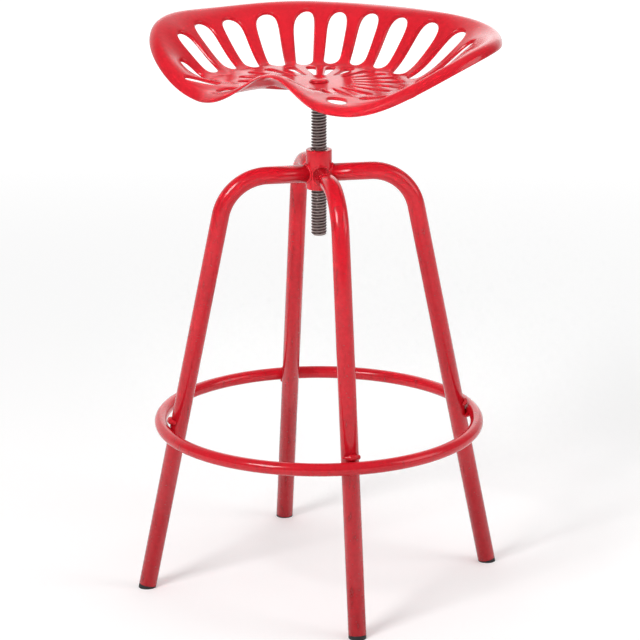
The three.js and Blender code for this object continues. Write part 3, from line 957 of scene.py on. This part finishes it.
def turn_to(shape, side, lean=Matrix()):
    """Lean a shape that was made along +X, and carry it round to its side."""
    quarter = Matrix.Rotation(math.pi / 2 * SIDES.index(side), 4, "Z")
    bmesh.ops.transform(shape, matrix=quarter @ lean, verts=shape.verts)
    return shape


def pushed(shape, edges, vec):
    """Extrude edges and move what is new."""
    push = bmesh.ops.extrude_edge_only(shape, edges=edges)["geom"]
    bmesh.ops.translate(shape, verts=vertices_of(push), vec=vec)
    return push


def leg_shape():
    turn = math.pi / 2 - TILT
    bend_start = (leg_reach(LEG_TOP) - BEND * math.tan(turn / 2)) * MM
    down = Vector((math.sin(TILT), 0, -math.cos(TILT)))
    bend_end = Vector((leg_reach(LEG_TOP), 0, LEG_TOP)) + BEND * math.tan(turn / 2) * down
    foot = Vector((FOOT_REACH, 0, 0)) - TUBE_END * down

    shape = bmesh.new()
    flat = Matrix.Translation((0, 0, LEG_TOP * MM)) @ Matrix.Rotation(math.pi / 2, 4, "Y")
    first = bmesh.ops.create_circle(
        shape, segments=LEG_CORNERS, radius=LEG_RADIUS * MM, matrix=flat
    )["verts"]
    push = pushed(shape, shape.edges[:], (bend_start, 0, 0))
    bent = bmesh.ops.spin(
        shape,
        geom=vertices_of(push) + edges_of(push),
        cent=(bend_start, 0, (LEG_TOP - BEND) * MM),
        axis=(0, 1, 0),
        angle=turn,
        steps=BEND_STEPS,
    )["geom_last"]
    pushed(shape, edges_of(bent), (foot - bend_end) * MM)
    for corner in first:
        corner.co.x = math.sqrt((HUB_RADIUS + HUB_JOINT) ** 2 * MM * MM - corner.co.y**2)
    merged(shape)

    # An open tube may come out of merged() inside out. The lowest face tells.
    shape.faces.ensure_lookup_table()
    lowest = min(shape.faces, key=lambda face: face.calc_center_median().z)
    outward = lowest.calc_center_median() - foot * MM
    if lowest.normal.dot(outward - outward.dot(down) * down) < 0:
        bmesh.ops.reverse_faces(shape, faces=shape.faces)
    return shape


for side in SIDES:
    leg = finish_frame_piece(f"leg_tube_{side}", turn_to(leg_shape(), side), f"leg_{side}")
    wall = leg.modifiers.new("wall", "SOLIDIFY")
    wall.thickness, wall.offset = LEG_WALL * MM, -1

# %% [markdown]
# The footrest is one tube bent to a circle and welded shut. A ready-made torus
# would do, but a circle spun once round the post says how it is bent, and
# stands a hair outside the legs that it touches.

# %% Footrest
RING_RADIUS, RING_HEIGHT, RING_JOINT = 8.0, 207.85, 0.3
RING_CORNERS, RING_STEPS = 32, 180
RING_REACH = leg_reach(RING_HEIGHT) + (LEG_RADIUS + RING_JOINT) / math.cos(TILT) + RING_RADIUS

ring = bmesh.new()
stand = Matrix.Translation((RING_REACH * MM, 0, RING_HEIGHT * MM))
stand = stand @ Matrix.Rotation(math.pi / 2, 4, "X")
bmesh.ops.create_circle(ring, segments=RING_CORNERS, radius=RING_RADIUS * MM, matrix=stand)
spin_once(ring, RING_STEPS)
finish_frame_piece("footrest_tube", merged(ring), "footrest_ring")
print("footrest is", round(2 * (RING_REACH + RING_RADIUS)), "mm across")

# %% [markdown]
# Hub, plate, collar, washer, bolt and foot plugs are turned or moulded round.
# Each is a profile of radius and height whose corners are rounded while it is
# still a line, then spun once. Rounding the line takes one bevel of a few
# corners, where rounding the finished piece would take one of many edges.

# %% A lathe
ROUNDING_STEPS = 3


def turned(profile, rounding, steps=72):
    """profile is a closed line of (radius, height), or one from axis to axis."""
    shape = bmesh.new()
    corners = [shape.verts.new((r * MM, 0, z * MM)) for r, z in profile]
    pairs = list(zip(corners, corners[1:]))
    if profile[0][0] > 0:
        pairs.append((corners[-1], corners[0]))
    for pair in pairs:
        shape.edges.new(pair)
    bmesh.ops.bevel(
        shape,
        geom=[corner for corner in corners if corner.co.x > 0],
        offset=rounding * MM,
        segments=ROUNDING_STEPS,
        profile=0.5,
        affect="VERTICES",
        material=-1,
    )
    spin_once(shape, steps)
    return merged(shape)


def washer_profile(inner, outer, low, high):
    return [(inner, low), (outer, low), (outer, high), (inner, high)]


print("a turned corner gets", ROUNDING_STEPS, "faces")

# %% [markdown]
# The hub is a thick sleeve that the post turns in. Under the pan a plate takes
# the load, and a collar below it stops the seat at the hub. All three are
# plain rings, a hair apart from their neighbours.

# %% Hub, plate and collar
HUB_LOW, HUB_HIGH = 506.1, 555.4
SCREW_RADIUS, BORE_GAP = 9.5, 0.35
BORE = SCREW_RADIUS + BORE_GAP
BOLT_HOLE = 5.35
HAIR = 0.3
PLATE_RADIUS, PLATE_THICK = 35, 4
PLATE_HIGH = PAN_HEIGHT - SHELL - HAIR
PLATE_LOW = PLATE_HIGH - PLATE_THICK
COLLAR_RADIUS, COLLAR_THICK = 15, 7
COLLAR_HIGH = PLATE_LOW - HAIR
COLLAR_LOW = COLLAR_HIGH - COLLAR_THICK

hub = turned(washer_profile(BORE, HUB_RADIUS, HUB_LOW, HUB_HIGH), rounding=1.2)
finish_frame_piece("hub_sleeve", hub, "hub")
plate = turned(washer_profile(BOLT_HOLE, PLATE_RADIUS, PLATE_LOW, PLATE_HIGH), rounding=0.9)
finish_piece("under_plate", plate, "seat", tube_red, ["seat_plate"])
collar = turned(washer_profile(BORE, COLLAR_RADIUS, COLLAR_LOW, COLLAR_HIGH), rounding=0.8)
finish_piece("stop_collar", collar, "lift", dark_steel, ["thrust_collar"])
print("the collar can sink", round(COLLAR_LOW - HUB_HIGH), "mm to the hub")

# %% [markdown]
# In the middle of the pan a bolt with a low round head holds the seat to the
# post, on a thin washer. Both were painted with the seat.

# %% Washer and bolt
WASHER_RADIUS, WASHER_THICK = 12, 1
BOLT_RADIUS, BOLT_LENGTH = 5, 26
HEAD_RADIUS, HEAD_EDGE, HEAD_DOME = 11, 0.5, 2.1
WASHER_LOW = PAN_HEIGHT + HAIR
HEAD_LOW = WASHER_LOW + (WASHER_THICK + HAIR)


def dome_point(degrees):
    turn = math.radians(degrees)
    return HEAD_RADIUS * math.cos(turn), HEAD_LOW + HEAD_EDGE + HEAD_DOME * math.sin(turn)


washer = turned(
    washer_profile(BOLT_HOLE, WASHER_RADIUS, WASHER_LOW, WASHER_LOW + WASHER_THICK), rounding=0.3
)
finish_piece("pan_washer", washer, "seat", seat_red, ["seat_washer"])
bolt_profile = [
    (0, HEAD_LOW - BOLT_LENGTH),
    (BOLT_RADIUS, HEAD_LOW - BOLT_LENGTH),
    (BOLT_RADIUS, HEAD_LOW),
    (HEAD_RADIUS, HEAD_LOW),
    *(dome_point(degrees) for degrees in (25, 50, 70)),
    (0, HEAD_LOW + (HEAD_EDGE + HEAD_DOME)),
]
bolt = turned(bolt_profile, rounding=0.35)
finish_piece("pan_bolt", bolt, "seat", seat_red, ["seat_bolt"])
print("the bolt's head stands", round(HEAD_EDGE + HEAD_DOME, 1), "mm high")

# %% [markdown]
# The post has a coarse square thread. Rings stacked on a rod would look like
# one from afar, but wouldn't climb. So a profile one pitch high is spun round
# and up at once, and each turn starts where the last one ended. The open ends
# are cut level and closed, and the lower one is rounded off.

# %% Threaded post
PITCH, ROOT, CREST, SHOULDER = 3.7, 7.5, 9.5, 9.2
THREAD = (
    (ROOT, 0), (ROOT, 0.14), (SHOULDER, 0.33), (CREST, 0.40),
    (CREST, 0.74), (SHOULDER, 0.81), (ROOT, 1),
)
BELOW_THE_HUB = 59.1
SCREW_LOW = HUB_LOW - BELOW_THE_HUB
SPARE_PITCHES = 1.3
STEPS_A_TURN = 24
THREAD_SEAM = 0.02
THREAD_SHARP_FROM = 50
NOSE = 3

post = bmesh.new()
start = SCREW_LOW - SPARE_PITCHES * PITCH
turns = math.ceil((COLLAR_HIGH - start) / PITCH) + 1
line = [post.verts.new((r * MM, 0, (start + share * PITCH) * MM)) for r, share in THREAD]
for pair in zip(line, line[1:]):
    post.edges.new(pair)
bmesh.ops.spin(
    post,
    geom=post.verts[:] + post.edges[:],
    cent=(0, 0, 0),
    axis=(0, 0, 1),
    dvec=(0, 0, PITCH / STEPS_A_TURN * MM),
    angle=2 * math.pi * turns,
    steps=STEPS_A_TURN * turns,
)
bmesh.ops.remove_doubles(post, verts=post.verts, dist=THREAD_SEAM * MM)
cut_level(post, SCREW_LOW, -1)
cut_level(post, COLLAR_HIGH, 1)
for corner in post.verts:
    above = min(max((corner.co.z / MM - SCREW_LOW) / NOSE, 0), 1)
    limit = (SCREW_RADIUS - NOSE + NOSE * math.sqrt(1 - (1 - above) ** 2)) * MM
    reach = math.hypot(corner.co.x, corner.co.y)
    if reach > limit:
        corner.co.x *= limit / reach
        corner.co.y *= limit / reach
merged(post)
finish_piece(
    "threaded_post", post, "seat", dark_steel, ["screw"], THREAD_SHARP_FROM
)
print("thread turns:", round((COLLAR_HIGH - SCREW_LOW) / PITCH))

# %% [markdown]
# Welds hold the frame together. A bead is a small round section led round the
# joint, uneven in size as molten metal is. The unevenness comes from noise,
# the same each time. At the hub a bead follows the saddle line between two
# round tubes: it starts as a flat ring round the leg and is then pushed onto
# the hub's round.

# %% A weld bead at the hub
HUB_BEAD_RADIUS, HUB_BEAD_CORNERS, HUB_BEAD_STEPS = 1.9, 14, 72
HUB_BEAD_SUNK, HUB_BEAD_OUT, HUB_BEAD_MARGIN = 0.1, 0.1, 0.3
HUB_BEAD_RIPPLE = 0.6
LONG_RIPPLE, SHORT_RIPPLE = 5, 2


def ripple(place, size):
    """A thickness that wavers about 1, by long waves and by short ones half as strong."""
    long_wave = size * noise.noise(place / (LONG_RIPPLE * MM))
    return 1 + long_wave + 0.5 * size * noise.noise(place / (SHORT_RIPPLE * MM))


def hub_bead():
    shape = bmesh.new()
    around = (LEG_RADIUS - HUB_BEAD_SUNK) * MM
    section = Matrix.Translation((0, 0, around)) @ Matrix.Rotation(math.pi / 2, 4, "X")
    bmesh.ops.create_circle(
        shape, segments=HUB_BEAD_CORNERS, radius=HUB_BEAD_RADIUS * MM, matrix=section
    )
    spin_once(shape, HUB_BEAD_STEPS, axis=(1, 0, 0))
    bmesh.ops.remove_doubles(shape, verts=shape.verts, dist=RING_SEAM)
    for corner in shape.verts:
        spine = Vector((0, corner.co.y, corner.co.z)).normalized() * around
        corner.co = spine + (corner.co - spine) * ripple(spine, HUB_BEAD_RIPPLE)
        corner.co.x += math.sqrt((HUB_RADIUS * MM) ** 2 - spine.y**2) + HUB_BEAD_OUT * MM
        widest = corner.co.x - HUB_BEAD_MARGIN * MM
        corner.co.y = min(max(corner.co.y, -widest), widest)
        corner.co.z += LEG_TOP * MM
    return merged(shape)


print("hub beads are", 2 * HUB_BEAD_RADIUS, "mm thick before they waver")

# %% [markdown]
# At the footrest a short bead lies above the ring and another below it, in the
# corner between ring and leg. It is part of a ring round the leg, thickest in
# its middle, closed at both ends and leaned with the leg. With it, all the
# beads can be laid, leg by leg.

# %% A weld bead at the footrest, and all the beads
RING_BEAD_RADIUS, RING_BEAD_CORNERS, RING_BEAD_STEPS = 2.9, 12, 30
RING_BEAD_OUT, RING_BEAD_HALF, RING_BEAD_LEVEL = 1.7, 58, 8.0
RING_BEAD_THIN, RING_BEAD_SWELL, RING_BEAD_TALLER = 0.3, 0.7, 1.25
RING_BEAD_RIPPLE = 0.45


def ring_bead(level):
    """A bead on a leg's outer face, its middle above or below the ring's by level."""
    shape = bmesh.new()
    half = math.radians(RING_BEAD_HALF)
    around = (LEG_RADIUS + RING_BEAD_OUT) * MM
    section = Matrix.Translation((around, 0, 0)) @ Matrix.Rotation(math.pi / 2, 4, "X")
    bmesh.ops.create_circle(
        shape, segments=RING_BEAD_CORNERS, radius=RING_BEAD_RADIUS * MM, matrix=section
    )
    first = Matrix.Rotation(-half, 3, "Z")
    bmesh.ops.rotate(shape, verts=shape.verts, cent=(0, 0, 0), matrix=first)
    bmesh.ops.spin(
        shape,
        geom=shape.verts[:] + shape.edges[:],
        cent=(0, 0, 0),
        axis=(0, 0, 1),
        angle=2 * half,
        steps=RING_BEAD_STEPS,
    )
    close_ends(shape)
    axis_point = Vector((leg_reach(RING_HEIGHT + level), 0, RING_HEIGHT + level)) * MM
    lean = Matrix.Translation(axis_point) @ Matrix.Rotation(-TILT, 4, "Y")
    for corner in shape.verts:
        angle = math.atan2(corner.co.y, corner.co.x)
        spine = Vector((math.cos(angle), math.sin(angle), 0)) * around
        middle = math.sqrt(max(1 - (angle / half) ** 2, 0))
        taper = RING_BEAD_THIN + RING_BEAD_SWELL * middle
        offset = (corner.co - spine) * taper * ripple(spine + axis_point, RING_BEAD_RIPPLE)
        offset.z *= RING_BEAD_TALLER
        corner.co = lean @ (spine + offset)
    return merged(shape)


for side in SIDES:
    bead = turn_to(hub_bead(), side)
    finish_frame_piece(f"hub_bead_{side}", bead, f"hub_weld_{side}", ALL_SMOOTH)
    for name, level in (("upper", RING_BEAD_LEVEL), ("lower", -RING_BEAD_LEVEL)):
        bead = turn_to(ring_bead(level), side)
        finish_frame_piece(f"ring_bead_{name}_{side}", bead, f"ring_weld_{side}", ALL_SMOOTH)

# %% [markdown]
# A black plastic plug closes each tube and stands on the floor. It is turned
# like the others, leaned with its leg and cut level at the floor, which leaves
# it the flat face that it stands on.

# %% Foot plugs
PLUG_GAP, PLUG_INSET, STEM_LENGTH = 0.2, 0.15, 14
PLUG_TOP = TUBE_END - PLUG_GAP
STEM = LEG_RADIUS - LEG_WALL - PLUG_GAP
BRIM = LEG_RADIUS - PLUG_INSET
PLUG = (
    (0, PLUG_TOP - 8.2), (BRIM / 2, PLUG_TOP - 7.9), (BRIM - 1.2, PLUG_TOP - 7),
    (BRIM, PLUG_TOP - 5.8), (BRIM, PLUG_TOP), (STEM, PLUG_TOP),
    (STEM, PLUG_TOP + STEM_LENGTH), (0, PLUG_TOP + STEM_LENGTH),
)
LEG_LEAN = Matrix.Translation((FOOT_REACH * MM, 0, 0)) @ Matrix.Rotation(-TILT, 4, "Y")

for side in SIDES:
    plug = turn_to(turned(PLUG, rounding=0.5, steps=48), side, LEG_LEAN)
    cut_level(plug, 0, -1)
    merged(plug)
    node = f"foot_plug_{side}"
    finish_piece(f"foot_tip_{side}", plug, "frame", black_plastic, [node])
